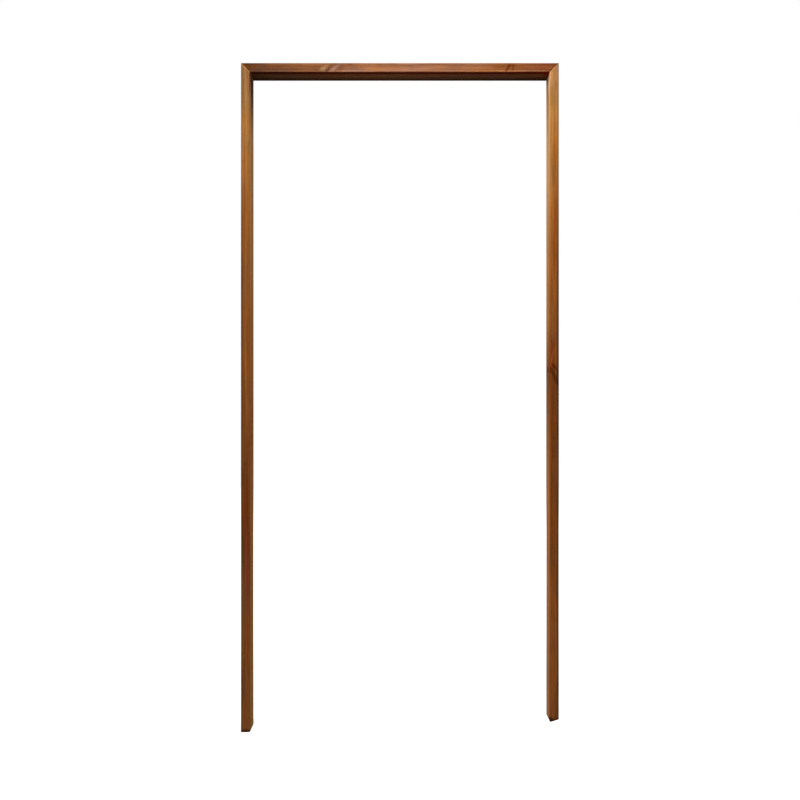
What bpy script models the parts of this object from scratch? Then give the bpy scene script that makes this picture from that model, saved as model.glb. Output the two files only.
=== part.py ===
# Door frame for a single leaf: two jambs and a head sawn from one rebated moulding.
# Each top corner is a full mitre, located by two dowels and drawn up by three screws.
# Metres, +Z up. X runs across the opening and the visible front faces look to -Y.
# The origin lies on the floor plane, in the middle of the frame's width and depth.

import math

import bmesh
import bpy
from mathutils import Matrix, Vector

# Door leaf that the frame is made for, and the gaps it hangs with
LEAF_WIDTH = 0.915
LEAF_HEIGHT = 1.981
LEAF_GAP = 0.003
FLOOR_GAP = 0.008

# Moulding: a thick stop part in front, and a rebate for the leaf behind it
MEMBER_THICKNESS = 0.027
STOP_WIDTH = 0.077
REBATE_WIDTH = 0.038
REBATE_DEPTH = 0.010
ARRIS_RADIUS = 0.003
ARRIS_SEGMENTS = 6
SAW_ALLOWANCE = 0.010
MITRE_JOINT = 0.0003

# Right leg, cut off above the floor with a slanting saw cut
RIGHT_LEG_SHORTFALL = 0.030
RIGHT_FOOT_SLANT = math.radians(17.0)

# Countersunk wood screws, driven through the jambs into the head
SCREW_LENGTH = 0.070
SCREW_THREAD_RADIUS = 0.0025
SCREW_THREAD_LENGTH = 0.042
SCREW_SHANK_RADIUS = 0.0018
SCREW_TIP_LENGTH = 0.005
SCREW_HEAD_RADIUS = 0.0048
SCREW_HEAD_LAND = 0.0004
SCREW_HEAD_SINK = 0.0006
RECESS_DEPTH = 0.0024
RECESS_SPAN = 0.0050
RECESS_SLOT = 0.0012
RECESS_FLOOR_SCALE = 0.45
SCREW_EDGE_MARGIN = 0.014

# Dowels, square to the mitre
DOWEL_LENGTH = 0.020
DOWEL_RADIUS = 0.0030
DOWEL_CHAMFER = 0.0008
DOWEL_FLUTES = 12
DOWEL_FLUTE_DEPTH = 0.0003
DOWEL_SPACING = 0.018

FASTENER_CLEARANCE = 0.0003
ROUND_SIDES = 24
SMOOTH_UNDER = math.radians(35.0)
SAME_POINT = 1e-6

# Sizes that follow
REBATE_THICKNESS = MEMBER_THICKNESS - REBATE_DEPTH
FRAME_DEPTH = STOP_WIDTH + REBATE_WIDTH
FRAME_WIDTH = LEAF_WIDTH + 2 * LEAF_GAP + 2 * REBATE_THICKNESS
FRAME_HEIGHT = FLOOR_GAP + LEAF_HEIGHT + LEAF_GAP + REBATE_THICKNESS
FRONT_Y = -FRAME_DEPTH / 2
LEFT_CORNER = Vector((-FRAME_WIDTH / 2, FRONT_Y, FRAME_HEIGHT))
RIGHT_CORNER = Vector((FRAME_WIDTH / 2, FRONT_Y, FRAME_HEIGHT))
SCREW_SEAT_DEPTH = SCREW_HEAD_LAND + SCREW_HEAD_RADIUS - SCREW_SHANK_RADIUS
SCREW_DEPTHS = (SCREW_EDGE_MARGIN, STOP_WIDTH - SCREW_EDGE_MARGIN, STOP_WIDTH + REBATE_WIDTH / 2)
DOWEL_DEPTHS = (STOP_WIDTH / 2 - DOWEL_SPACING / 2, STOP_WIDTH / 2 + DOWEL_SPACING / 2)


def clear_scene():
    for old in list(bpy.data.objects):
        bpy.data.objects.remove(old, do_unlink=True)


def finish(name, colour, roughness, metallic):
    material = bpy.data.materials.new(name)
    material.use_nodes = True
    shader = material.node_tree.nodes["Principled BSDF"]
    shader.inputs["Base Color"].default_value = (*colour, 1.0)
    shader.inputs["Roughness"].default_value = roughness
    shader.inputs["Metallic"].default_value = metallic
    return material


def place(name, mesh, material, matrix):
    data = bpy.data.meshes.new(name)
    bmesh.ops.recalc_face_normals(mesh, faces=mesh.faces)
    mesh.to_mesh(data)
    mesh.free()
    data.materials.append(material)
    obj = bpy.data.objects.new(name, data)
    obj.matrix_world = matrix
    bpy.context.scene.collection.objects.link(obj)
    return obj


def shade_round(obj):
    obj.data.shade_smooth()
    obj.data.set_sharp_from_angle(angle=SMOOTH_UNDER)


def place_cutter(name, mesh, material, matrix, cutters):
    obj = place(name, mesh, material, matrix)
    obj.hide_render = True
    obj.display_type = "WIRE"
    cutters.objects.link(obj)


def cutter_group(name):
    group = bpy.data.collections.new(name)
    group.hide_render = True
    return group


def subtract(obj, cutters):
    cut = obj.modifiers.new(cutters.name, "BOOLEAN")
    cut.operation = "DIFFERENCE"
    cut.solver = "EXACT"
    cut.operand_type = "COLLECTION"
    cut.collection = cutters


# Members
# A member's own X runs from the wall face to the opening, Y from front to back, Z along it.


def moulding_stock(length):
    """A length of moulding with every arris eased but the one inside the rebate."""
    outline = (
        (0, 0),
        (MEMBER_THICKNESS, 0),
        (MEMBER_THICKNESS, STOP_WIDTH),
        (REBATE_THICKNESS, STOP_WIDTH),
        (REBATE_THICKNESS, FRAME_DEPTH),
        (0, FRAME_DEPTH),
    )
    mesh = bmesh.new()
    section = mesh.faces.new([mesh.verts.new((x, y, -SAW_ALLOWANCE)) for x, y in outline])
    drawn = bmesh.ops.extrude_face_region(mesh, geom=[section])
    far_end = [item for item in drawn["geom"] if isinstance(item, bmesh.types.BMVert)]
    bmesh.ops.translate(mesh, verts=far_end, vec=(0, 0, length + 2 * SAW_ALLOWANCE))
    eased = [edge for edge in mesh.edges if runs_lengthwise(edge) and not in_rebate_corner(edge)]
    bmesh.ops.bevel(
        mesh,
        geom=eased,
        offset=ARRIS_RADIUS,
        segments=ARRIS_SEGMENTS,
        profile=0.5,
        affect="EDGES",
    )
    return mesh


def runs_lengthwise(edge):
    first, second = edge.verts
    return (second.co.xy - first.co.xy).length < SAME_POINT


def in_rebate_corner(edge):
    corner = Vector((REBATE_THICKNESS, STOP_WIDTH))
    return (edge.verts[0].co.xy - corner).length < SAME_POINT


def saw(mesh, point, normal):
    """Takes off what lies beyond the plane and closes the sawn end."""
    whole = mesh.verts[:] + mesh.edges[:] + mesh.faces[:]
    cut = bmesh.ops.bisect_plane(mesh, geom=whole, plane_co=point, plane_no=normal, clear_outer=True)
    rim = [item for item in cut["geom_cut"] if isinstance(item, bmesh.types.BMEdge)]
    bmesh.ops.edgeloop_fill(mesh, edges=rim)


def mitre_cut(outer_corner, along):
    """A 45 degree cut towards the opening, back from the corner by half the joint."""
    normal = Vector((1, 0, along)).normalized()
    return Vector((0, 0, outer_corner)) - normal * MITRE_JOINT / 2, normal


def square_cut(position, along):
    return Vector((0, 0, position)), Vector((0, 0, along))


def slanted_foot_cut(full_length):
    """A cut that rises from the opening side of the leg to its wall side."""
    inner_arris = Vector((MEMBER_THICKNESS, 0, full_length - RIGHT_LEG_SHORTFALL))
    return inner_arris, Vector((-math.sin(RIGHT_FOOT_SLANT), 0, math.cos(RIGHT_FOOT_SLANT)))


def make_member(name, material, start, turn, length, first_cut, last_cut):
    mesh = moulding_stock(length)
    saw(mesh, *first_cut)
    saw(mesh, *last_cut)
    matrix = Matrix.Translation(start) @ Matrix.Rotation(turn, 4, "Y")
    member = place(name, mesh, material, matrix)
    shade_round(member)
    return member


def make_members():
    left_finish = finish("stained_wood_left", (0.30, 0.135, 0.045), 0.42, 0.0)
    head_finish = finish("stained_wood_head", (0.34, 0.155, 0.070), 0.42, 0.0)
    right_finish = finish("stained_wood_right", (0.33, 0.145, 0.050), 0.42, 0.0)
    left_foot = Vector((LEFT_CORNER.x, LEFT_CORNER.y, 0))
    left = make_member(
        "left_jamb",
        left_finish,
        left_foot,
        0.0,
        FRAME_HEIGHT,
        square_cut(0, -1),
        mitre_cut(FRAME_HEIGHT, 1),
    )
    head = make_member(
        "head",
        head_finish,
        LEFT_CORNER,
        math.pi / 2,
        FRAME_WIDTH,
        mitre_cut(0, -1),
        mitre_cut(FRAME_WIDTH, 1),
    )
    right = make_member(
        "right_jamb",
        right_finish,
        RIGHT_CORNER,
        math.pi,
        FRAME_HEIGHT,
        mitre_cut(0, -1),
        slanted_foot_cut(FRAME_HEIGHT),
    )
    return left, head, right


# Screws
# A screw's own Z runs from its head to its tip.


def turned(outline):
    """A closed solid turned about Z from (radius, height) points that start and end on Z."""
    mesh = bmesh.new()
    points = [mesh.verts.new((radius, 0, height)) for radius, height in outline]
    profile = [mesh.edges.new(pair) for pair in zip(points, points[1:])]
    bmesh.ops.spin(
        mesh,
        geom=points + profile,
        cent=(0, 0, 0),
        axis=(0, 0, 1),
        angle=math.tau,
        steps=ROUND_SIDES,
        use_merge=True,
    )
    bmesh.ops.remove_doubles(mesh, verts=mesh.verts, dist=SAME_POINT)
    return mesh


def screw_outline():
    thread_start = SCREW_LENGTH - SCREW_THREAD_LENGTH
    shoulder = SCREW_THREAD_RADIUS - SCREW_SHANK_RADIUS
    return (
        (0, 0),
        (SCREW_HEAD_RADIUS, 0),
        (SCREW_HEAD_RADIUS, SCREW_HEAD_LAND),
        (SCREW_SHANK_RADIUS, SCREW_SEAT_DEPTH),
        (SCREW_SHANK_RADIUS, thread_start - shoulder),
        (SCREW_THREAD_RADIUS, thread_start),
        (SCREW_THREAD_RADIUS, SCREW_LENGTH - SCREW_TIP_LENGTH),
        (0, SCREW_LENGTH),
    )


def screw_hole_outline():
    """The countersink and the bored hole, with clearance all round the screw."""
    mouth = SCREW_HEAD_RADIUS + FASTENER_CLEARANCE
    bore = SCREW_THREAD_RADIUS + FASTENER_CLEARANCE
    cone_start = SCREW_HEAD_LAND + FASTENER_CLEARANCE
    return (
        (0, -SAW_ALLOWANCE),
        (mouth, -SAW_ALLOWANCE),
        (mouth, cone_start),
        (bore, cone_start + mouth - bore),
        (bore, SCREW_LENGTH - SCREW_TIP_LENGTH + FASTENER_CLEARANCE),
        (0, SCREW_LENGTH + 2 * FASTENER_CLEARANCE),
    )


def cross_recess():
    """A tapering cross, for the driver."""
    half_span = RECESS_SPAN / 2
    half_slot = RECESS_SLOT / 2
    arm = ((half_slot, half_slot), (half_span, half_slot), (half_span, -half_slot))
    turns = [Matrix.Rotation(-quarter * math.pi / 2, 2) for quarter in range(4)]
    outline = [turn @ Vector(point) for turn in turns for point in arm]
    mesh = bmesh.new()
    top = mesh.faces.new([mesh.verts.new((x, y, -RECESS_DEPTH)) for x, y in outline])
    drawn = bmesh.ops.extrude_face_region(mesh, geom=[top])
    floor = [item for item in drawn["geom"] if isinstance(item, bmesh.types.BMVert)]
    bmesh.ops.translate(mesh, verts=floor, vec=(0, 0, 2 * RECESS_DEPTH))
    bmesh.ops.scale(mesh, verts=floor, vec=(RECESS_FLOOR_SCALE, RECESS_FLOOR_SCALE, 1))
    return mesh


def screw_height(depth):
    """How far below the frame's top a screw runs: the middle of the head's thickness there."""
    return (MEMBER_THICKNESS if depth < STOP_WIDTH else REBATE_THICKNESS) / 2


def screw_seat(corner, side, depth):
    """Stands a screw on its head's place in a jamb's wall face, pointing into the head."""
    place_at = corner + Vector((-side * SCREW_HEAD_SINK, depth, -screw_height(depth)))
    return Matrix.Translation(place_at) @ Matrix.Rotation(-side * math.pi / 2, 4, "Y")


def drive_screws(side_name, corner, side, holes):
    steel = finish(side_name + "_screw_steel", (0.62, 0.60, 0.56), 0.35, 1.0)
    for number, depth in enumerate(SCREW_DEPTHS, 1):
        name = side_name + "_corner_screw_" + str(number)
        seat = screw_seat(corner, side, depth)
        screw = place(name, turned(screw_outline()), steel, seat)
        shade_round(screw)
        recess = cutter_group(name + "_recess")
        place_cutter(name + "_recess", cross_recess(), steel, seat, recess)
        subtract(screw, recess)
        place_cutter(name + "_hole", turned(screw_hole_outline()), steel, seat, holes)


# Dowels
# A dowel's own Z runs along it, and its middle lies on the mitre.


def dowel_body():
    """A fluted pin with both ends chamfered."""
    mesh = bmesh.new()
    steps = 2 * DOWEL_FLUTES
    radii = [DOWEL_RADIUS - (step % 2) * DOWEL_FLUTE_DEPTH for step in range(steps)]
    angles = [step * math.tau / steps for step in range(steps)]
    spokes = [Vector((math.cos(angle), math.sin(angle), 0)) for angle in angles]
    rings = []
    for height, shrink in (
        (-DOWEL_LENGTH / 2, DOWEL_CHAMFER),
        (DOWEL_CHAMFER - DOWEL_LENGTH / 2, 0),
        (DOWEL_LENGTH / 2 - DOWEL_CHAMFER, 0),
        (DOWEL_LENGTH / 2, DOWEL_CHAMFER),
    ):
        middle = Vector((0, 0, height))
        points = [middle + spoke * (radius - shrink) for radius, spoke in zip(radii, spokes)]
        corners = [mesh.verts.new(point) for point in points]
        rings.append([mesh.edges.new((corners[i - 1], corners[i])) for i in range(steps)])
    for lower, upper in zip(rings, rings[1:]):
        bmesh.ops.bridge_loops(mesh, edges=lower + upper)
    bmesh.ops.edgeloop_fill(mesh, edges=rings[0])
    bmesh.ops.edgeloop_fill(mesh, edges=rings[-1])
    return mesh


def dowel_hole_outline():
    radius = DOWEL_RADIUS + FASTENER_CLEARANCE
    reach = DOWEL_LENGTH / 2 + FASTENER_CLEARANCE
    return (0, -reach), (radius, -reach), (radius, reach), (0, reach)


def dowel_seat(corner, side, depth):
    """The middle of the mitre's width, square to its plane."""
    middle = corner + Vector((-side * MEMBER_THICKNESS / 2, depth, -MEMBER_THICKNESS / 2))
    return Matrix.Translation(middle) @ Matrix.Rotation(-side * math.pi / 4, 4, "Y")


def set_dowels(side_name, corner, side, holes):
    beech = finish(side_name + "_dowel_beech", (0.62, 0.42, 0.24), 0.7, 0.0)
    for number, depth in enumerate(DOWEL_DEPTHS, 1):
        name = side_name + "_corner_dowel_" + str(number)
        seat = dowel_seat(corner, side, depth)
        shade_round(place(name, dowel_body(), beech, seat))
        place_cutter(name + "_hole", turned(dowel_hole_outline()), beech, seat, holes)


clear_scene()
left_jamb, head_member, right_jamb = make_members()
for side_name, corner, side, jamb in (
    ("left", LEFT_CORNER, -1, left_jamb),
    ("right", RIGHT_CORNER, 1, right_jamb),
):
    joint_holes = cutter_group(side_name + "_corner_holes")
    drive_screws(side_name, corner, side, joint_holes)
    set_dowels(side_name, corner, side, joint_holes)
    subtract(jamb, joint_holes)
    subtract(head_member, joint_holes)
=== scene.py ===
import math

import bpy
from mathutils import Matrix, Vector


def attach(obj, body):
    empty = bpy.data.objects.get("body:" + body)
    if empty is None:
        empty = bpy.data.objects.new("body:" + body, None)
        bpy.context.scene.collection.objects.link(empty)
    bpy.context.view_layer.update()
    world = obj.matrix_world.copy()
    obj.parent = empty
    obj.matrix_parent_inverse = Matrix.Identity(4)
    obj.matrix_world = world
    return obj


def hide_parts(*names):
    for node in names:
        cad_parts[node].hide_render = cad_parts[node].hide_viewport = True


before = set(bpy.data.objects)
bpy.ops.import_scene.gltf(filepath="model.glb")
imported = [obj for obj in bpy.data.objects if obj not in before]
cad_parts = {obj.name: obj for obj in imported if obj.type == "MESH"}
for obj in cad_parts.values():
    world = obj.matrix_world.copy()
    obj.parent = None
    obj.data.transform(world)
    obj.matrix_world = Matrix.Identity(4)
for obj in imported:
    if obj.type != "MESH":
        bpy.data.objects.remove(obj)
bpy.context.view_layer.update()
print("packed frame loaded")

smoothAngle = math.radians(35)  # edges that turn more than this stay sharp


# Node helpers

def hexColour(code):
    # colours are typed as seen on screen and turned to linear values here
    parts = [int(code[i:i + 2], 16) / 255 for i in (0, 2, 4)]
    return [p / 12.92 if p <= 0.04045 else ((p + 0.055) / 1.055) ** 2.4 for p in parts] + [1.0]


def feed(tree, node, sockets):
    # links what another node puts out, and types in plain values
    for name, value in sockets.items():
        if isinstance(value, bpy.types.NodeSocket):
            tree.links.new(value, node.inputs[name])
        else:
            node.inputs[name].default_value = value


def addNode(tree, kind, sockets=None, **settings):
    made = tree.nodes.new(kind)
    for name, value in settings.items():
        setattr(made, name, value)
    feed(tree, made, sockets or {})
    return made


def mathNode(tree, operation, *values):
    return addNode(tree, "ShaderNodeMath", dict(enumerate(values)), operation=operation).outputs[0]


def vectorMath(tree, operation, *values):
    made = addNode(tree, "ShaderNodeVectorMath", dict(enumerate(values)), operation=operation)
    return made.outputs["Value" if operation in ("LENGTH", "DISTANCE") else "Vector"]


def separate(tree, place):
    return addNode(tree, "ShaderNodeSeparateXYZ", {0: place}).outputs


def combine(tree, axes):
    return addNode(tree, "ShaderNodeCombineXYZ", axes).outputs[0]


def stretched(tree, value, low, high, newLow=0.0, newHigh=1.0):
    # a smooth step from one range to another
    sockets = {"Value": value, "From Min": low, "From Max": high, "To Min": newLow, "To Max": newHigh}
    return addNode(tree, "ShaderNodeMapRange", sockets, interpolation_type="SMOOTHSTEP").outputs[0]


def mixed(tree, factor, first, second, blend="MIX"):
    sockets = {0: factor, 6: first, 7: second}  # 6 and 7 are a Mix node's two colours
    return addNode(tree, "ShaderNodeMix", sockets, data_type="RGBA", blend_type=blend).outputs[2]


def tinted(tree, colour, tint):
    return mixed(tree, 1.0, colour, tint, "MULTIPLY")


def toned(tree, colour, tone):
    # a colour made lighter or darker as a whole
    return addNode(tree, "ShaderNodeVectorMath", {0: colour, "Scale": tone}, operation="SCALE").outputs[0]


def noise(tree, place, scale, detail=2.0, roughness=0.5, spread=None, reach=(0.0, 1.0)):
    # noise on a place in metres, with a scale for each direction; spread is stretched over reach
    scaled = vectorMath(tree, "MULTIPLY", place, scale)
    sockets = {"Vector": scaled, "Scale": 1.0, "Detail": detail, "Roughness": roughness}
    grey = addNode(tree, "ShaderNodeTexNoise", sockets).outputs["Fac"]
    return stretched(tree, grey, *spread, *reach) if spread else grey


def wavering(tree, place, layer):
    # noise that swings about zero
    return mathNode(tree, "SUBTRACT", noise(tree, place, **layer), 0.5)


def newGroup(name, inputs, outputs):
    tree = bpy.data.node_groups.new(name, "ShaderNodeTree")
    for label, kind, value in inputs:
        socket = tree.interface.new_socket(label, in_out="INPUT", socket_type="NodeSocket" + kind)
        if value is not None:
            socket.default_value = value
    for label, kind in outputs:
        tree.interface.new_socket(label, in_out="OUTPUT", socket_type="NodeSocket" + kind)
    return tree, tree.nodes.new("NodeGroupInput").outputs, tree.nodes.new("NodeGroupOutput").inputs


def placeGroup(tree, group, sockets):
    return addNode(tree, "ShaderNodeGroup", sockets, node_tree=group).outputs


def newMaterial(name):
    material = bpy.data.materials.new(name)
    material.use_nodes = True
    tree = material.node_tree
    return material, tree, tree.nodes["Principled BSDF"]


def objectPlace(tree):
    return addNode(tree, "ShaderNodeTexCoord").outputs["Object"]


def addBump(tree, shader, height, strength, distance):
    # distance is how deep the relief is, in metres
    bump = addNode(tree, "ShaderNodeBump", {"Height": height, "Strength": strength, "Distance": distance})
    tree.links.new(bump.outputs[0], shader.inputs["Normal"])


# The moulding and its grain. A place on a member is (across its face from the outer arris, back
# from its front, along it), in metres.

moulding = {
    "face": 0.027,
    "stopDepth": 0.077,  # how far the reveal runs back, as far as the rebate
    "backEdge": 0.017,
    "depth": 0.115,
    "halfDepth": 0.0575,
    "halfWidth": 0.4775,  # of the whole frame
    "height": 2.009,
    "mitreCore": 0.001,  # as near the mitre as this, its stain is full
}

acrossOnly = (1.0, 1.0, 0.0)  # drops how far along a place lies

woodGrain = {
    # noise scales are across, back and along
    "sway": {"scale": (16.0, 16.0, 2.4), "detail": 3.0},
    "swayReach": (0.018, 0.018, 0.0),
    "ringNoise": {"Scale": 1.0, "Detail": 2.0, "Roughness": 0.6},
    "ringSpread": (0.3, 0.7),
    "streaks": {"scale": (130.0, 130.0, 2.8), "detail": 3.0, "roughness": 0.55, "spread": (0.32, 0.68)},
    "clouds": {"scale": (38.0, 38.0, 8.0), "detail": 3.0, "roughness": 0.6, "spread": (0.34, 0.66)},
    "fibres": {"scale": (900.0, 900.0, 16.0), "roughness": 0.6},
    "pores": {"scale": (1500.0, 1500.0, 45.0), "detail": 1.0, "spread": (0.6, 0.7)},
    "patches": {"scale": (70.0, 70.0, 12.0), "spread": (0.34, 0.66), "reach": (-1.0, 1.0)},
    "streakTints": ((1.16, 1.13, 1.08, 1.0), (0.80, 0.76, 0.74, 1.0)),
    "cloudTints": ((1.08, 1.0, 0.80, 1.0), (0.93, 0.99, 1.16, 1.0)),
    "poreRelief": 0.7,  # how far the pores are sunk below the fibres
    # each of these is the layer times the first number, plus the second
    "ringTone": (-0.24, 1.12),
    "fibreTone": (0.5, 0.75),
    "poreTone": (-0.28, 1.0),
    "sheen": (0.2, 0.75),
}


def makeGrainGroup(grain):
    tree, given, out = newGroup(
        "memberGrain",
        [
            ("Place", "Vector", None),
            ("Pith", "Vector", (0.0, 0.0, 0.0)),
            ("Ring Spacing", "Float", 0.004),
            ("Patch Depth", "Float", 0.05),
        ],
        [("Tint", "Color"), ("Sheen", "Float"), ("Relief", "Float")],
    )
    sway = wavering(tree, given["Place"], grain["sway"])
    sideways = combine(tree, {"X": sway, "Y": sway})
    swayed = vectorMath(tree, "MULTIPLY_ADD", sideways, grain["swayReach"], given["Place"])
    # growth rings round a pith that lies outside the member
    fromPith = vectorMath(tree, "SUBTRACT", swayed, given["Pith"])
    radius = vectorMath(tree, "LENGTH", vectorMath(tree, "MULTIPLY", fromPith, acrossOnly))
    ringCount = mathNode(tree, "DIVIDE", radius, given["Ring Spacing"])
    ringNoise = {"W": ringCount, **grain["ringNoise"]}
    rings = addNode(tree, "ShaderNodeTexNoise", ringNoise, noise_dimensions="1D").outputs["Fac"]
    rings = stretched(tree, rings, *grain["ringSpread"])
    # patches are lighter and darker, where the stain took unevenly
    streaks, clouds, fibres, pores, patches = [
        noise(tree, swayed, **grain[name]) for name in ("streaks", "clouds", "fibres", "pores", "patches")
    ]
    streakTint = mixed(tree, streaks, *grain["streakTints"])
    cloudTint = mixed(tree, clouds, *grain["cloudTints"])
    tone = mathNode(tree, "MULTIPLY_ADD", rings, *grain["ringTone"])
    patchTone = (given["Patch Depth"], 1.0)
    shares = ((fibres, grain["fibreTone"]), (pores, grain["poreTone"]), (patches, patchTone))
    for layer, (depth, base) in shares:
        tone = mathNode(tree, "MULTIPLY", tone, mathNode(tree, "MULTIPLY_ADD", layer, depth, base))
    sunk = mathNode(tree, "MULTIPLY", pores, grain["poreRelief"])
    tree.links.new(toned(tree, tinted(tree, streakTint, cloudTint), tone), out["Tint"])
    tree.links.new(mathNode(tree, "MULTIPLY_ADD", fibres, *grain["sheen"]), out["Sheen"])
    tree.links.new(mathNode(tree, "SUBTRACT", fibres, sunk), out["Relief"])
    return tree


leaningMark = {
    "rag": {"scale": (420.0, 420.0, 120.0)},
    "ragDepth": 0.7,
    "rim": (1.3, 0.5),  # fades from the first share of its half size in to the second
    "faceEdge": (0.0002, 0.0015),
}


def makeMarkGroup(look):
    # one leaning oval mark, with a ragged rim, that wraps from the face round to the reveal
    tree, given, out = newGroup(
        "leaningMark",
        [
            ("Place", "Vector", None),
            ("Round", "Float", 0.0),
            ("Along", "Float", 0.0),
            ("Lean", "Float", 0.0),
            ("Half Width", "Float", 0.002),
            ("Half Length", "Float", 0.01),
        ],
        [("Mask", "Float")],
    )
    axes = separate(tree, given["Place"])
    # the girth runs over the face from its outer arris and on along the reveal
    girth = mathNode(tree, "SUBTRACT", mathNode(tree, "ADD", axes["X"], axes["Y"]), given["Round"])
    along = mathNode(tree, "SUBTRACT", axes["Z"], given["Along"])
    turn = {"Vector": combine(tree, {"X": girth, "Z": along}), "Angle": given["Lean"]}
    oval = separate(tree, addNode(tree, "ShaderNodeVectorRotate", turn, rotation_type="Y_AXIS").outputs[0])
    shares = [
        mathNode(tree, "DIVIDE", oval["X"], given["Half Width"]),
        mathNode(tree, "DIVIDE", oval["Z"], given["Half Length"]),
    ]
    squares = [mathNode(tree, "MULTIPLY", share, share) for share in shares]
    reach = mathNode(tree, "SQRT", mathNode(tree, "ADD", *squares))
    ragged = wavering(tree, given["Place"], look["rag"])
    mask = stretched(tree, mathNode(tree, "MULTIPLY_ADD", ragged, look["ragDepth"], reach), *look["rim"])
    onFace = stretched(tree, axes["X"], *look["faceEdge"])
    tree.links.new(mathNode(tree, "MULTIPLY", mask, onFace), out["Mask"])
    return tree


arrisStain = {
    # each mask goes from 0 at its first number to 1 at its second
    "near": (1.0, 0.1),  # shares of an arris's reach
    "beforeRebate": (0.0770, 0.0762),
    "lipAcross": (0.0205, 0.0255),
    "lipBack": (0.0035, 0.0012),
    "revealAcross": (0.012, 0.015),
    "revealBack": (0.0004, 0.004),
    "inner": (1.25, 0.75),  # shares of the inner depth
    "wall": (0.0015, 0.0003),
}


def makeArrisGroup(look):
    # nearness to the long arrises, for painted shade along them and a painted highlight on the lip, and the
    # way round from the face to the reveal
    tree, given, out = newGroup(
        "arrisStain",
        [
            ("Place", "Vector", None),
            ("Outer Reach", "Float", 0.010),
            ("Rear Reach", "Float", 0.007),
            ("Back Reach", "Float", 0.007),
            ("Inner Depth", "Float", 0.022),
        ],
        [(name, "Float") for name in ("Outer", "Lip", "Inner", "Rear", "Back", "Reveal", "Wall")],
    )
    axes = separate(tree, given["Place"])
    flat = vectorMath(tree, "MULTIPLY", given["Place"], acrossOnly)
    spots = {
        "Outer": [(0.0, 0.0)],
        "Rear": [(moulding["face"], moulding["stopDepth"])],
        "Back": [(moulding["backEdge"], moulding["depth"]), (0.0, moulding["depth"])],
    }
    masks = {}
    for name, arrises in spots.items():
        near, *others = [vectorMath(tree, "DISTANCE", flat, (x, y, 0.0)) for x, y in arrises]
        for other in others:
            near = mathNode(tree, "MINIMUM", near, other)
        masks[name] = stretched(tree, mathNode(tree, "DIVIDE", near, given[name + " Reach"]), *look["near"])
    # the rear arris shades the reveal, and not the rebate behind it
    beforeRebate = stretched(tree, axes["Y"], *look["beforeRebate"])
    masks["Rear"] = mathNode(tree, "MULTIPLY", masks["Rear"], beforeRebate)
    # the lip is the face's last few millimetres before the reveal, where a painted highlight is laid
    for name, part in (("Lip", "lip"), ("Reveal", "reveal")):
        across = stretched(tree, axes["X"], *look[part + "Across"])
        back = stretched(tree, axes["Y"], *look[part + "Back"])
        masks[name] = mathNode(tree, "MULTIPLY", across, back)
    innerShare = mathNode(tree, "DIVIDE", axes["Y"], given["Inner Depth"])
    masks["Inner"] = stretched(tree, innerShare, *look["inner"])
    masks["Wall"] = stretched(tree, axes["X"], *look["wall"])
    for name, mask in masks.items():
        tree.links.new(mask, out[name])
    return tree


def nearMitre(tree, place, settings):
    # 1 at the mitre, fading out over the given width
    axes = separate(tree, place)
    gap = mathNode(tree, "SUBTRACT", settings["length"], mathNode(tree, "ADD", axes["X"], axes["Z"]))
    if settings["mitredStart"]:
        gap = mathNode(tree, "MINIMUM", gap, mathNode(tree, "SUBTRACT", axes["Z"], axes["X"]))
    return stretched(tree, gap, settings["mitreWidth"], moulding["mitreCore"])


grainGroup = makeGrainGroup(woodGrain)
markGroup = makeMarkGroup(leaningMark)
arrisGroup = makeArrisGroup(arrisStain)
print("node groups made")


# Stained members. Ramps along a member are (metres along, colour), and hold painted light and shade
# as well as the stain. Marks are (colour, strength, round, along, lean, half width, half length), in
# millimetres and degrees, where round is counted from the outer arris over the face and on along the
# reveal.

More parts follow.
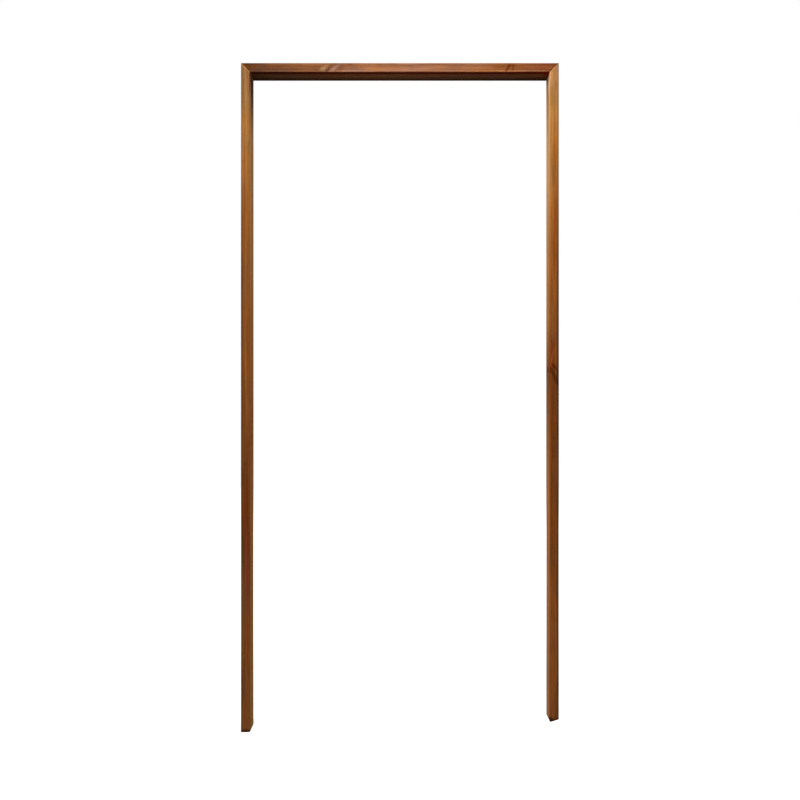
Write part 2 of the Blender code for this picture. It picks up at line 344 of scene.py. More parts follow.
members = {
    "left_jamb": {
        "piece": "left_jamb_stained",
        "toFace": {"Location": (moulding["halfWidth"], moulding["halfDepth"], 0.0)},
        "length": moulding["height"],
        "pith": (-0.020, 0.040, 0.0),
        "ringSpacing": 0.0042,
        "patchDepth": 0.05,
        "figure": 3.7,
        # painted light in these ramps: lighter towards the top, and the reveal darkest just under the head,
        # where the head's shadow is painted
        "faceStain": [
            (0.05, "683E20"), (0.55, "5E2E14"), (0.95, "72421C"), (1.62, "84522A"), (1.80, "9A6A3A"),
            (1.93, "8E663A"),
        ],
        "innerStain": [
            (0.10, "704A1C"), (0.85, "6A3810"), (1.25, "845024"), (1.80, "946A3C"), (1.97, "5A3820"),
        ],
        "revealStain": [
            (0.10, "745428"), (0.60, "704820"), (0.92, "603810"), (1.55, "7A5630"), (1.80, "705434"),
            (1.92, "341A06"),
        ],
        "innerDepth": 0.022,
        "lipHighlight": (1.0, 1.0, 1.0, 1.0),
        "outerShade": (0.55, 0.2),
        "rearShade": 0.35,
        "rearReach": 0.007,
        "gloss": 0.05,
        "mitredStart": False,
        "mitreWidth": 0.007,
        "mitreStain": ("C08658", 0.6),
        "marks": [
            ("502608", 0.6, 56.0, 883.0, 0.0, 20.0, 6.0),
            ("5C3008", 0.5, 25.5, 864.0, 0.0, 2.2, 14.0),
            ("542808", 0.4, 7.0, 770.0, 0.0, 3.5, 30.0),
            ("502C08", 0.5, 13.0, 806.0, 0.0, 3.5, 9.0),
            # a dark band along the foot's lowest few millimetres
            ("2E1C0E", 0.85, 13.5, 3.2, 90.0, 6.0, 24.0),
            ("84402A", 0.50, 18.5, 440.0, 0.0, 5.0, 170.0),
            ("54420C", 0.50, 29.5, 430.0, 0.0, 4.0, 170.0),
            ("483A10", 0.50, 6.0, 550.0, 0.0, 3.5, 70.0),
            ("785830", 0.50, 6.0, 350.0, 0.0, 6.0, 170.0),
            ("B07C3C", 0.35, 20.5, 1720.0, 0.0, 4.5, 240.0),
            ("8E5620", 0.40, 20.5, 1130.0, 0.0, 4.5, 260.0),
            ("7C4A1C", 0.45, 20.5, 210.0, 0.0, 5.0, 190.0),
            ("5A3C1C", 0.50, 60.0, 250.0, 0.0, 14.0, 190.0),
            # painted shade on the face's inner edge just under the head
            ("44260E", 0.65, 27.5, 1958.0, 0.0, 3.6, 36.0),
            ("A4663E", 0.50, 21.0, 1950.0, 0.0, 6.0, 34.0),
            ("94603E", 0.40, 9.0, 1700.0, 0.0, 5.0, 70.0),
        ],
    },
    "right_jamb": {
        "piece": "right_jamb_stained",
        "toFace": {
            "Location": (moulding["halfWidth"], moulding["halfDepth"], 0.0), "Scale": (-1.0, 1.0, 1.0),
        },
        "length": moulding["height"],
        "pith": (-0.030, 0.050, 0.0),
        "ringSpacing": 0.0038,
        "patchDepth": 0.06,
        "figure": 11.3,
        # painted light in these ramps: lighter towards the top, the reveal and its front brighter than the
        # face, and the reveal darker just under the head, in painted shadow
        "faceStain": [
            (0.10, "744420"), (0.60, "744018"), (1.05, "6A3A18"), (1.38, "8C5020"), (1.88, "AA7640"),
        ],
        "revealStain": [
            (0.10, "80583A"), (0.67, "8A5C38"), (1.08, "643A18"), (1.25, "946638"), (1.79, "B08860"),
            (1.92, "8E6840"),
        ],
        "innerStain": [
            (0.10, "704424"), (0.67, "804A20"), (1.08, "602E08"), (1.25, "884A18"), (1.50, "925C28"),
            (1.90, "C09464"),
        ],
        "innerDepth": 0.022,
        "lipHighlight": (1.05, 1.08, 1.1, 1.0),
        "outerShade": (0.5, 0.25),
        "rearShade": 0.35,
        "rearReach": 0.007,
        "gloss": 0.05,
        "mitredStart": False,
        "mitreWidth": 0.006,
        "mitreStain": ("D89C72", 0.5),
        "marks": [
            ("8A3A14", 0.70, 24.0, 1118.0, 0.0, 9.0, 34.0),
            ("502404", 0.95, 14.6, 1098.0, -32.0, 5.4, 13.0),
            ("4E240A", 0.78, 21.0, 1083.0, -28.0, 6.4, 20.0),
            ("4C2408", 0.85, 9.4, 1058.0, -24.5, 6.0, 21.0),
            ("5A2600", 0.95, 58.0, 1088.0, 0.0, 34.0, 10.0),
            ("6E3A08", 0.60, 15.8, 1124.0, 2.7, 3.4, 24.0),
            ("76300A", 0.70, 15.6, 1160.0, 10.0, 4.6, 20.0),
            ("905030", 0.50, 20.0, 1128.0, 12.0, 3.6, 26.0),
            ("64300A", 0.50, 27.5, 1067.0, 0.0, 2.0, 10.0),
            ("5A2C0C", 0.60, 56.0, 1116.0, 0.0, 12.0, 3.0),
            ("5A2E0C", 0.55, 62.0, 1030.0, 0.0, 12.0, 6.0),
            ("54300A", 0.65, 62.0, 961.0, 0.0, 12.0, 7.0),
            ("8A4420", 0.45, 14.0, 940.0, 0.0, 4.0, 13.0),
            ("5A2A0A", 0.45, 18.0, 899.0, 0.0, 3.0, 3.5),
            ("5A2606", 0.55, 14.4, 882.0, 20.0, 4.0, 4.5),
            ("30180A", 0.45, 4.0, 900.0, 0.0, 3.5, 26.0),
            ("3E2010", 0.60, 4.5, 1066.0, 0.0, 3.6, 36.0),
            ("602C0A", 0.40, 18.0, 840.0, 0.0, 3.0, 24.0),
            # a dark patch at the foot's tip
            ("241A0C", 0.85, 33.0, 37.0, 0.0, 19.0, 10.0),
            ("3A2010", 0.70, 14.0, 36.0, 74.0, 5.0, 26.0),
            ("A05E12", 0.55, 14.5, 1560.0, 0.0, 5.0, 260.0),
            ("9C5E24", 0.45, 11.0, 1770.0, 0.0, 7.0, 90.0),
            ("8E5420", 0.50, 14.0, 1705.0, 0.0, 9.0, 70.0),
            ("863C0A", 0.55, 14.2, 1440.0, 0.0, 3.6, 100.0),
            ("8E5628", 0.50, 26.5, 1670.0, 0.0, 3.0, 70.0),
            ("B88E52", 0.40, 23.0, 1780.0, 0.0, 4.5, 190.0),
            ("8E4418", 0.60, 10.5, 1545.0, 2.0, 4.2, 130.0),
            ("96602C", 0.60, 22.0, 1240.0, 0.0, 5.0, 64.0),
            # painted highlights at the top of the jamb: on the outer edge, along the inner arris and on the
            # reveal under the head
            ("BC8056", 0.80, 6.0, 1974.0, 0.0, 6.0, 28.0),
            ("CCA470", 0.60, 23.0, 1966.0, 0.0, 4.0, 34.0),
            ("D2A47C", 0.55, 48.0, 1958.0, 0.0, 22.0, 40.0),
        ],
    },
    "head": {
        "piece": "head_stained",
        "toFace": {
            "Location": (moulding["height"], moulding["halfDepth"], moulding["halfWidth"]),
            "Rotation": (0.0, -math.pi / 2, 0.0),
        },
        "length": 0.955,
        "pith": (0.060, 0.050, 0.0),
        "ringSpacing": 0.0046,
        "patchDepth": 0.12,
        "figure": 23.9,
        # painted shade in these ramps: the underside darker than the face and darkest along its front edge,
        # and the face darker at its left end by the mitre
        "faceStain": [
            (0.02, "52321C"), (0.14, "744A32"), (0.46, "A26E50"), (0.70, "9A623E"), (0.92, "804A2C"),
        ],
        "innerStain": [
            (0.03, "441200"), (0.40, "641C00"), (0.90, "601400"),
        ],
        "revealStain": [
            (0.03, "6A4830"), (0.40, "8C5C40"), (0.93, "6E4A34"),
        ],
        "innerDepth": 0.0205,
        "lipHighlight": (1.8, 2.1, 2.4, 1.0),
        "outerShade": (0.0, 0.0),
        # painted shade along the back of the underside
        "rearShade": 0.97,
        "rearReach": 0.026,
        "gloss": 0.01,
        "mitredStart": True,
        "mitreWidth": 0.010,
        "mitreStain": ("703C0C", 0.55),
        "marks": [
            ("A4805A", 0.85, 16.0, 249.0, 34.0, 7.5, 16.0),
            ("66402A", 0.80, 20.0, 261.0, 45.0, 6.0, 9.5),
            ("704630", 0.50, 9.0, 272.0, 34.0, 4.5, 9.0),
            ("9C7A6A", 0.85, 15.5, 282.0, 34.0, 5.5, 18.0),
            ("482814", 0.60, 25.0, 283.5, 0.0, 2.5, 4.0),
            ("784A34", 0.50, 16.0, 299.0, 45.0, 9.0, 14.0),
            ("5A3A1E", 0.50, 3.0, 286.0, 0.0, 2.5, 6.0),
            ("744418", 0.50, 4.0, 328.0, 0.0, 3.0, 8.0),
            ("6E300C", 0.85, 13.0, 803.0, 60.0, 5.6, 17.0),
            ("743A14", 0.75, 11.5, 817.5, 79.0, 5.4, 15.0),
            ("8A4A08", 0.60, 13.5, 772.0, 0.0, 3.8, 16.0),
            ("6C3814", 0.50, 12.6, 790.0, 70.0, 2.5, 5.0),
            ("8C4426", 0.35, 12.0, 900.0, 0.0, 6.0, 26.0),
            ("5E3018", 0.50, 2.0, 456.0, 0.0, 2.0, 3.0),
            # painted shade in the underside's inner corner by the right mitre
            ("7A1400", 0.75, 46.0, 921.0, 0.0, 22.0, 9.0),
            ("743A1E", 0.40, 16.0, 38.0, 20.0, 7.0, 14.0),
            ("A4745A", 0.45, 9.0, 420.0, 0.0, 3.0, 30.0),
            ("8E4E32", 0.45, 22.0, 215.0, 0.0, 3.5, 26.0),
            ("8C5E42", 0.35, 5.0, 160.0, 0.0, 6.0, 130.0),
            ("9C5432", 0.50, 29.0, 560.0, 0.0, 5.0, 270.0),
            ("6C4A3A", 0.50, 20.0, 48.0, 0.0, 7.0, 30.0),
        ],
    },
}

memberShadeAndRelief = {
    "backShade": 0.35,
    "wallShade": 0.12,
    "outerHeights": (1.3, 1.8),  # between these the outer arris's shade changes
    "outerTint": (0.0, 0.25, 0.45, 1.0),
    "outerReach": 0.010,
    "backReach": 0.007,
    "bump": (0.35, 0.0003),
}


def alongRamp(tree, along, tones, length):
    ramp = addNode(tree, "ShaderNodeValToRGB", {"Fac": mathNode(tree, "DIVIDE", along, length)})
    stops = ramp.color_ramp.elements
    while len(stops) < len(tones):
        stops.new(0.5)  # anywhere, because its place is set below
    for stop, (place, code) in zip(stops, tones):
        stop.position = place / length
        stop.color = hexColour(code)
    return ramp.outputs["Color"]


def addMark(tree, place, colour, mark):
    code, strength, around, along, lean, halfWidth, halfLength = mark
    mask = placeGroup(tree, markGroup, {
        "Place": place,
        "Round": around / 1000,
        "Along": along / 1000,
        "Lean": math.radians(lean),
        "Half Width": halfWidth / 1000,
        "Half Length": halfLength / 1000,
    })["Mask"]
    return mixed(tree, mathNode(tree, "MULTIPLY", mask, strength), colour, hexColour(code))


def makeStainAndLight(name, settings, shadeAndRelief):
    material, tree, shader = newMaterial(name)
    toFace = {"Vector": objectPlace(tree), **settings["toFace"]}
    place = addNode(tree, "ShaderNodeMapping", toFace).outputs[0]
    along = separate(tree, place)["Z"]
    figure = settings["figure"]  # moves the grain on, so that no two members share it
    grain = placeGroup(tree, grainGroup, {
        "Place": vectorMath(tree, "ADD", place, (figure, figure, figure)),
        "Pith": [part + figure for part in settings["pith"]],
        "Ring Spacing": settings["ringSpacing"],
        "Patch Depth": settings["patchDepth"],
    })
    arris = placeGroup(tree, arrisGroup, {
        "Place": place,
        "Outer Reach": shadeAndRelief["outerReach"],
        "Rear Reach": settings["rearReach"],
        "Back Reach": shadeAndRelief["backReach"],
        "Inner Depth": settings["innerDepth"],
    })
    # the stain along the face, the front of the reveal and the rest of the reveal, with painted light and
    # shade: each part is lit or shaded apart
    onFace, onInner, onReveal = [
        alongRamp(tree, along, settings[part], settings["length"])
        for part in ("faceStain", "innerStain", "revealStain")
    ]
    # a painted highlight on the lip, strongest on the head's lower arris
    onFace = mixed(tree, arris["Lip"], onFace, tinted(tree, onFace, settings["lipHighlight"]))
    colour = mixed(tree, arris["Reveal"], onFace, mixed(tree, arris["Inner"], onReveal, onInner))
    # a painted highlight along the jambs' mitres, and a dark joint line along the head's
    code, strength = settings["mitreStain"]
    atMitre = mathNode(tree, "MULTIPLY", nearMitre(tree, place, settings), strength)
    colour = mixed(tree, atMitre, colour, hexColour(code))
    for mark in settings["marks"]:
        colour = addMark(tree, place, colour, mark)
    colour = tinted(tree, colour, grain["Tint"])
    # painted shade near the rear arris, along the back arrises and on the wall face
    shades = {"Rear": settings["rearShade"], "Back": shadeAndRelief["backShade"], "Wall": shadeAndRelief["wallShade"]}
    for part, depth in shades.items():
        colour = toned(tree, colour, mathNode(tree, "MULTIPLY_ADD", arris[part], -depth, 1.0))
    # the outer arris is darker and a little greener, most of all low down
    outerShade = stretched(tree, along, *shadeAndRelief["outerHeights"], *settings["outerShade"])
    outer = mathNode(tree, "MULTIPLY", arris["Outer"], outerShade)
    colour = mixed(tree, outer, colour, tinted(tree, colour, shadeAndRelief["outerTint"]))
    feed(tree, shader, {
        "Base Color": colour,
        "Roughness": grain["Sheen"],
        "Specular IOR Level": settings["gloss"],
    })
    addBump(tree, shader, grain["Relief"], *shadeAndRelief["bump"])
    return material


boardCore = {
    "fluff": {"scale": (2200.0, 2200.0, 2200.0), "detail": 3.0, "roughness": 0.65},
    "fluffSpread": (0.35, 0.65),
    "fluffColours": ("7E5C3C", "A88660"),
    "clumps": {"scale": (260.0, 260.0, 260.0), "spread": (0.45, 0.7), "reach": (0.0, 0.35)},
    "clumpColour": "6A4A2E",
    "roughness": 0.9,
    "gloss": 0.2,
    "bump": (0.5, 0.0003),
}


def makeSawnBoard(look):
    # the pressed fibre core that shows at the sawn ends and in the bored holes
    material, tree, shader = newMaterial("sawnBoard")
    place = objectPlace(tree)
    fluff = noise(tree, place, **look["fluff"])
    dark, light = [hexColour(code) for code in look["fluffColours"]]
    colour = mixed(tree, stretched(tree, fluff, *look["fluffSpread"]), dark, light)
    colour = mixed(tree, noise(tree, place, **look["clumps"]), colour, hexColour(look["clumpColour"]))
    feed(tree, shader, {
        "Base Color": colour,
        "Roughness": look["roughness"],
        "Specular IOR Level": look["gloss"],
    })
    addBump(tree, shader, fluff, *look["bump"])
    return material


memberMesh = {
    "weldGap": 0.00001,
    "forward": 0.0002,  # how far a mitred end comes forward
    "mitreReach": 1.5,  # times forward, how near the mitre its corners lie
    "sawnTilt": 0.05,  # a sawn end faces along the member by more than this
    "square": 0.999,  # an outer face points more squarely than this
    # the screw and dowel holes lie in the top corners, below the surface
    "boredAcross": (0.4280, 0.4770),
    "boredBack": (-0.057, 0.057),
    "boredHeights": (1.985, 2.0085),
}


def mergedCopy(node, name, gap):
    # a piece of its own in the node's place, with its loose triangles joined up
    bpy.ops.object.select_all(action="DESELECT")
    piece = bpy.data.objects.new(name, node.data.copy())
    bpy.context.scene.collection.objects.link(piece)
    bpy.context.view_layer.objects.active = piece
    piece.select_set(True)
    bpy.ops.mesh.customdata_custom_splitnormals_clear()
    bpy.ops.object.mode_set(mode="EDIT")
    bpy.ops.mesh.select_all(action="SELECT")
    bpy.ops.mesh.remove_doubles(threshold=gap)
    bpy.ops.object.mode_set(mode="OBJECT")
    return piece


def closeMitres(piece, mitredStart, mesh):
    # the solids leave the glue line open, so the mitred ends come forward until they all but touch
    forward = mesh["forward"]
    for vertex in piece.data.vertices:
        place = vertex.co
        offMitre = place.z - moulding["height"] + moulding["halfWidth"] - abs(place.x)
        if abs(offMitre) < mesh["mitreReach"] * forward:
            if mitredStart:
                place.x += math.copysign(forward, place.x)
            else:
                place.z += forward


def inBore(centre, mesh):
    parts = {"boredAcross": abs(centre.x), "boredBack": centre.y, "boredHeights": centre.z}
    return all(mesh[name][0] < part < mesh[name][1] for name, part in parts.items())


def dressMember(nodeName, settings, mesh, sawnBoard):
    piece = mergedCopy(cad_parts[nodeName], settings["piece"], mesh["weldGap"])
    closeMitres(piece, settings["mitredStart"], mesh)
    piece.data.materials.clear()
    piece.data.materials.append(makeStainAndLight(nodeName + "Stain", settings, memberShadeAndRelief))
    piece.data.materials.append(sawnBoard)
    lengthAxis = 0 if nodeName == "head" else 2
    for face in piece.data.polygons:
        sawn = abs(face.normal[lengthAxis]) > mesh["sawnTilt"]
        bored = max(abs(part) for part in face.normal) < mesh["square"] and inBore(face.center, mesh)
        face.material_index = 1 if sawn or bored else 0
    bpy.ops.object.shade_smooth_by_angle(angle=smoothAngle)
    flatten = piece.modifiers.new("flatFaces", "WEIGHTED_NORMAL")
    flatten.keep_sharp = True
    bpy.ops.object.modifier_apply(modifier=flatten.name)
    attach(piece, "root")
    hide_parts(nodeName)


sawnBoard = makeSawnBoard(boardCore)
for nodeName, settings in members.items():
    dressMember(nodeName, settings, memberMesh, sawnBoard)
print("members stained")


# Corner screws. One screw is modelled, standing on its head with its tip up, and copied into each hole.

cornerScrews = {
    "vertices": 32,
    "length": 0.070,
    "headRadius": 0.0048,
    "headRim": 0.0002,  # width of the rounding round the head
    "headLand": 0.0004,
    "shankRadius": 0.0018,
    "threadStart": 0.028,
    "threadRoot": 0.0016,
    "threadSunk": 0.0002,  # how far the ridge reaches into the root
    "threadCrest": 0.00245,
    "threadPitch": 0.0025,
    "threadHalfWidth": 0.0006,
    "threadSteps": 20,
    "threadFade": 0.0035,
    "threadStop": 0.001,  # short of the tip
    "tipLength": 0.005,
    "tipRadius": 0.0001,
    "tipNarrowing": 0.1,
    "recessSpan": 0.0050,
    "recessSlot": 0.0012,
    "recessDepth": 0.0022,
    "recessTaper": 0.45,
    "headSink": 0.0006,
    "wallFace": 0.4775,
    # (place back from the middle, height, turn of the recess in degrees) on either side
    "seats": {
        "left": [(-0.0435, 1.9955, 12.0), (0.0055, 1.9955, 57.0), (0.0385, 2.0005, 33.0)],
        "right": [(-0.0435, 1.9955, 78.0), (0.0055, 1.9955, 24.0), (0.0385, 2.0005, 49.0)],
    },
}


def pickVertices(piece, wanted):
    # leaves the piece in edit mode, with only these vertices selected
    bpy.ops.object.mode_set(mode="EDIT")
    bpy.ops.mesh.select_mode(type="VERT")
    bpy.ops.mesh.select_all(action="DESELECT")
    bpy.ops.object.mode_set(mode="OBJECT")
    for vertex in piece.data.vertices:
        vertex.select = wanted(vertex)
    bpy.ops.object.mode_set(mode="EDIT")


def faceOutwards():
    bpy.ops.object.mode_set(mode="EDIT")
    bpy.ops.mesh.select_all(action="SELECT")
    bpy.ops.mesh.normals_make_consistent(inside=False)
    bpy.ops.object.mode_set(mode="OBJECT")


def recessBlade(settings, turn):
    # one tapered arm of the cross that is sunk into the head
    bpy.ops.object.select_all(action="DESELECT")
    bpy.ops.mesh.primitive_cube_add(size=1.0, rotation=(0.0, 0.0, turn))
    blade = bpy.context.object
    depth, taper = settings["recessDepth"], settings["recessTaper"]
    blade.scale = (settings["recessSpan"], settings["recessSlot"], 2 * depth)
    bpy.ops.object.transform_apply(location=True, rotation=True, scale=True)
    pickVertices(blade, lambda vertex: vertex.co.z > 0.5 * depth)
    bpy.ops.transform.resize(value=(taper, taper, 1.0))
    bpy.ops.object.mode_set(mode="OBJECT")
    return blade


def screwBody(settings):
    # the head's face is drawn out ring by ring as far as the tip
    head, rim, land = settings["headRadius"], settings["headRim"], settings["headLand"]
    shank, root, length = settings["shankRadius"], settings["threadRoot"], settings["length"]
    rings = [
        (rim, head),
        (land, head),
        (land + head - shank, shank),
        (settings["threadStart"] - rim, shank),
        (settings["threadStart"], root),
        (length - settings["tipLength"], root),
        (length, settings["tipRadius"]),
    ]
    bpy.ops.object.select_all(action="DESELECT")
    bpy.ops.mesh.primitive_circle_add(vertices=settings["vertices"], radius=head - rim, fill_type="NGON")
    body = bpy.context.object
    bpy.ops.object.mode_set(mode="EDIT")
    height, radius = 0.0, head - rim
    for nextHeight, nextRadius in rings:
        bpy.ops.mesh.extrude_region_move(TRANSFORM_OT_translate={"value": (0.0, 0.0, nextHeight - height)})
        bpy.ops.transform.resize(value=(nextRadius / radius, nextRadius / radius, 1.0))
        height, radius = nextHeight, nextRadius
    faceOutwards()
    for turn in (0.0, math.pi / 2):
        blade = recessBlade(settings, turn)
        bpy.context.view_layer.objects.active = body
        cut = body.modifiers.new("recess", "BOOLEAN")
        cut.operation = "DIFFERENCE"
        cut.solver = "EXACT"
        cut.object = blade
        bpy.ops.object.modifier_apply(modifier=cut.name)
        bpy.data.objects.remove(blade)
    return body


def screwThread(settings):
    # a three-sided ridge wound round the root, which fades in and runs out at the tip
    crest, half = settings["threadCrest"], settings["threadHalfWidth"]
    length, pitch = settings["length"], settings["threadPitch"]
    inside = settings["threadRoot"] - settings["threadSunk"]
    start = settings["threadStart"] + half
    bpy.ops.object.select_all(action="DESELECT")
    bpy.ops.mesh.primitive_circle_add(vertices=3, radius=1.0)
    ridge = bpy.context.object
    corners = [(crest, start), (inside, start - half), (inside, start + half)]
    for vertex, (across, height) in zip(ridge.data.vertices, corners):
        vertex.co = (across, 0.0, height)
    winding = ridge.modifiers.new("winding", "SCREW")
    winding.axis = "Z"
    winding.screw_offset = pitch
    winding.steps = winding.render_steps = settings["threadSteps"]
    winding.iterations = int((length - settings["threadStop"] - start) / pitch)
    bpy.ops.object.modifier_apply(modifier=winding.name)
    for vertex in ridge.data.vertices:
        place = vertex.co
        fromTip = (length - place.z) / settings["tipLength"]
        fade = max(0.0, min(1.0, (place.z - start + half) / settings["threadFade"], fromTip))
        narrowing = min(1.0, max(settings["tipNarrowing"], fromTip))
        radius = math.hypot(place.x, place.y)
        wanted = (inside + max(0.0, radius - inside) * fade) * narrowing
        place.x, place.y = place.x * wanted / radius, place.y * wanted / radius
    # each end closes to a point
    for end in (range(3), range(-3, 0)):
        total = len(ridge.data.vertices)
        indices = [index % total for index in end]
        pickVertices(ridge, lambda vertex: vertex.index in indices)
        bpy.ops.mesh.merge(type="CENTER")
        bpy.ops.object.mode_set(mode="OBJECT")
    return ridge


def modelScrew(settings):
    body = screwBody(settings)
    ridge = screwThread(settings)
    bpy.ops.object.select_all(action="DESELECT")
    body.select_set(True)
    ridge.select_set(True)
    bpy.context.view_layer.objects.active = body
    bpy.ops.object.join()
    faceOutwards()
    bpy.ops.object.shade_smooth_by_angle(angle=smoothAngle)
    return body


platedZinc = {
    "clouds": {"scale": (420.0, 420.0, 420.0), "detail": 3.0, "roughness": 0.6, "spread": (0.35, 0.65)},
    "cloudColours": ("C8C2AC", "A6A292"),
    "scuffs": {"scale": (1300.0, 5200.0, 1300.0), "roughness": 0.6},
    "scuffRoughness": (0.24, 0.30),  # times the first number, plus the second
    "recessDarkColour": "3A352C",
    "recessDarkStart": 0.0003,
    "recessDarkStrength": 0.8,
    "recessDarkEnd": (1.5, 1.2),  # times the recess's depth, where there is none and where it is full
    "bump": (0.3, 0.00005),
}


def makeZinc(settings, look):
    material, tree, shader = newMaterial("platedZinc")
    place = objectPlace(tree)
    scuffs = noise(tree, place, **look["scuffs"])
    light, dark = [hexColour(code) for code in look["cloudColours"]]
    colour = mixed(tree, noise(tree, place, **look["clouds"]), light, dark)
    # the cross recess is darker the deeper it goes
    reach = mathNode(tree, "ABSOLUTE", separate(tree, place)["X"])
    face, depth = settings["wallFace"] - settings["headSink"], settings["recessDepth"]
    recessDark = stretched(tree, reach, face - look["recessDarkStart"], face - depth, 0.0, look["recessDarkStrength"])
    outside = stretched(tree, reach, *[face - share * depth for share in look["recessDarkEnd"]])
    colour = mixed(tree, mathNode(tree, "MULTIPLY", recessDark, outside), colour, hexColour(look["recessDarkColour"]))
    feed(tree, shader, {
        "Base Color": colour,
        "Metallic": 1.0,
        "Roughness": mathNode(tree, "MULTIPLY_ADD", scuffs, *look["scuffRoughness"]),
    })
    addBump(tree, shader, scuffs, *look["bump"])
    return material


def driveScrews(settings):
    pattern = modelScrew(settings)
    pattern.data.materials.clear()
    pattern.data.materials.append(makeZinc(settings, platedZinc))
    for side, seats in settings["seats"].items():
        outward = -1.0 if side == "left" else 1.0
        facing = -outward * math.pi / 2
        for number, (back, height, turn) in enumerate(seats, 1):
            screw = bpy.data.objects.new("%s_zinc_screw_%d" % (side, number), pattern.data.copy())
            bpy.context.scene.collection.objects.link(screw)
            headPlace = Vector((outward * (settings["wallFace"] - settings["headSink"]), back, height))
            lying = Matrix.Rotation(facing, 4, "Y") @ Matrix.Rotation(math.radians(turn), 4, "Z")
            screw.data.transform(Matrix.Translation(headPlace) @ lying)
            screw.data.update()
            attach(screw, "root")
            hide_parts("%s_corner_screw_%d" % (side, number))
    bpy.data.objects.remove(pattern)


driveScrews(cornerScrews)
print("screws driven")


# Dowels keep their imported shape, a fluted peg laid square across each mitre

rawBeech = {
    "turn": (0.0, math.radians(45), 0.0),  # so that the pattern runs along the pegs
    "bands": {"scale": (500.0, 500.0, 30.0)},
    "bandSpread": (0.35, 0.65),
    "bandColours": ("D9BB92", "C39D70"),
    "bandRoughness": (0.2, 0.6),  # times the first number, plus the second
    "flecks": {"scale": (2600.0, 2600.0, 420.0), "detail": 1.0},
    "fleckSpread": (0.62, 0.72),
    "fleckStrength": 0.6,
    "fleckColour": "8E6238",
    "bump": (0.3, 0.0001),
}


def makeBeech(look):
    material, tree, shader = newMaterial("rawBeech")
    axes = separate(tree, objectPlace(tree))
    # both sides share one pattern
    mirrored = {"X": mathNode(tree, "ABSOLUTE", axes["X"]), "Y": axes["Y"], "Z": axes["Z"]}
    turned = {"Vector": combine(tree, mirrored), "Rotation": look["turn"]}
    place = addNode(tree, "ShaderNodeMapping", turned).outputs[0]
    bands = noise(tree, place, **look["bands"])
    flecks = noise(tree, place, **look["flecks"])
    light, dark = [hexColour(code) for code in look["bandColours"]]
    colour = mixed(tree, stretched(tree, bands, *look["bandSpread"]), light, dark)
    flecked = stretched(tree, flecks, *look["fleckSpread"], 0.0, look["fleckStrength"])
    colour = mixed(tree, flecked, colour, hexColour(look["fleckColour"]))
    feed(tree, shader, {
        "Base Color": colour,
        "Roughness": mathNode(tree, "MULTIPLY_ADD", bands, *look["bandRoughness"]),
    })
    addBump(tree, shader, flecks, *look["bump"])
    return material


beech = makeBeech(rawBeech)
for nodeName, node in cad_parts.items():
    if "dowel" in nodeName:
        for slot in node.material_slots:
            slot.material = beech
print("dowels coloured")


# Studio

white = (1.0, 1.0, 1.0, 1.0)

studio = {
    "floorSize": 16.0,
    "floorDrop": 0.0005,
    "floorColour": (0.5, 0.5, 0.5, 1.0),
    "floorGlow": (0.6, 1.5, 0.62, 1.0),  # from one radius to another, and its strength at each
    "unseenColour": (0.16, 0.15, 0.14, 1.0),
    "keyLight": {"place": (-4.82, -2.78, 3.25), "size": 2.6, "power": 520.0, "inGloss": False},
    "sideLight": {"place": (4.56, -1.84, 4.44), "size": 2.2, "power": 325.0, "inGloss": True},
    "backLight": {"place": (0.8, 5.0, 3.4), "size": 2.4, "power": 240.0, "inGloss": False},
    "lookAt": (0.0, 0.0, 1.0),
    "ambient": 0.10,
    "cameraPlace": (0.0003, -2.9675, 0.997),
    "lens": 43.63,
}


def addSoftbox(name, settings):
    lamp = bpy.data.lights.new(name, "AREA")
    lamp.shape = "SQUARE"
    lamp.size = settings["size"]
    lamp.energy = settings["power"]
    softbox = bpy.data.objects.new(name, lamp)
    bpy.context.scene.collection.objects.link(softbox)
    softbox.location = settings["place"]
    aim = Vector(studio["lookAt"]) - softbox.location
    softbox.rotation_euler = aim.to_track_quat("-Z", "Y").to_euler()
    softbox.visible_glossy = settings["inGloss"]


def mixedShader(tree, factor, first, second):
    return addNode(tree, "ShaderNodeMixShader", {0: factor, 1: first, 2: second}).outputs[0]


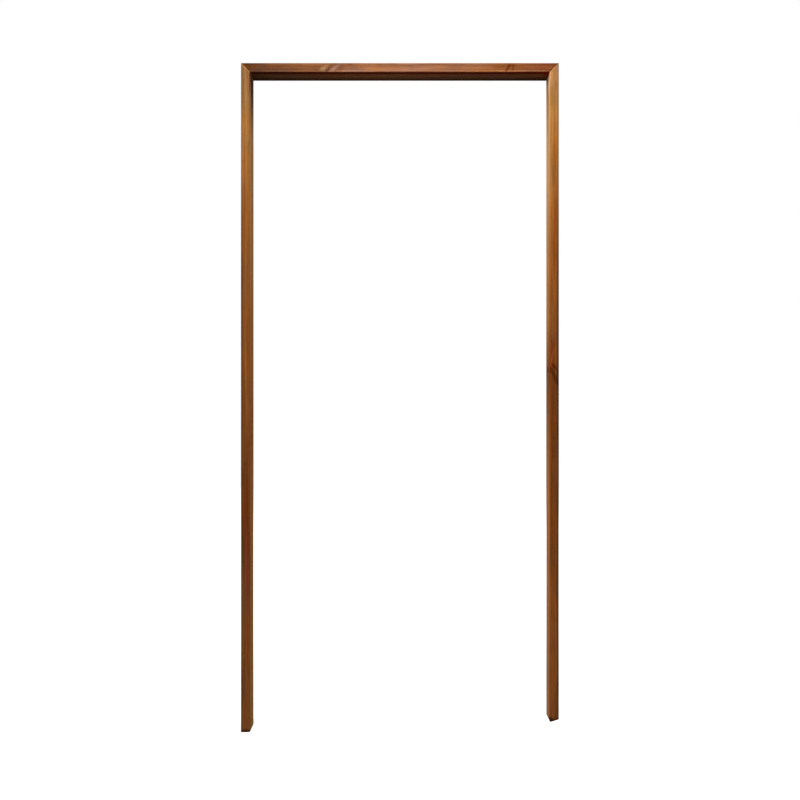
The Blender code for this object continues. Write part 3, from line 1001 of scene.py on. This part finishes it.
def seeingRays(tree):
    # rays that show the white floor and backdrop: the camera's own, mirrored and see-through ones
    rays = addNode(tree, "ShaderNodeLightPath").outputs
    mirrored = mathNode(tree, "MAXIMUM", rays["Is Camera Ray"], rays["Is Glossy Ray"])
    return mathNode(tree, "MAXIMUM", mirrored, rays["Is Transmission Ray"])


def makeFloor():
    bpy.ops.object.select_all(action="DESELECT")
    bpy.ops.mesh.primitive_plane_add(size=studio["floorSize"], location=(0, 0, -studio["floorDrop"]))
    floor = bpy.context.object
    floor.name = "studio_floor"
    material, tree, seen = newMaterial("paleFloor")
    far = vectorMath(tree, "LENGTH", objectPlace(tree))
    feed(tree, seen, {
        "Base Color": studio["floorColour"],
        "Roughness": 1.0,
        "Specular IOR Level": 0.0,
        "Emission Color": white,
        "Emission Strength": stretched(tree, far, *studio["floorGlow"]),
    })
    # other rays meet a darker floor, so that little light comes up under the head
    met = addNode(tree, "ShaderNodeBsdfDiffuse", {"Color": studio["unseenColour"]})
    under = addNode(tree, "ShaderNodeBsdfTransparent")
    side = addNode(tree, "ShaderNodeNewGeometry").outputs["Backfacing"]
    upper = mixedShader(tree, seeingRays(tree), met.outputs[0], seen.outputs[0])
    both = mixedShader(tree, side, upper, under.outputs[0])
    tree.links.new(both, tree.nodes["Material Output"].inputs["Surface"])
    floor.data.materials.append(material)


def makeWorld():
    world = bpy.data.worlds.new("studioWorld")
    bpy.context.scene.world = world
    world.use_nodes = True
    tree = world.node_tree
    tree.nodes.clear()
    ambient, backdrop = [
        addNode(tree, "ShaderNodeBackground", {"Color": white, "Strength": strength}).outputs[0]
        for strength in (studio["ambient"], 1.0)
    ]
    output = addNode(tree, "ShaderNodeOutputWorld")
    tree.links.new(mixedShader(tree, seeingRays(tree), ambient, backdrop), output.inputs["Surface"])


def addCamera():
    lens = bpy.data.cameras.new("photoCamera")
    lens.lens = studio["lens"]
    camera = bpy.data.objects.new("photoCamera", lens)
    bpy.context.scene.collection.objects.link(camera)
    camera.location = studio["cameraPlace"]
    camera.rotation_euler = (math.pi / 2, 0.0, 0.0)
    bpy.context.scene.camera = camera


makeFloor()
makeWorld()
for lightName in ("keyLight", "sideLight", "backLight"):
    addSoftbox(lightName, studio[lightName])
addCamera()
bpy.context.scene.view_settings.view_transform = "Standard"
print("studio set")
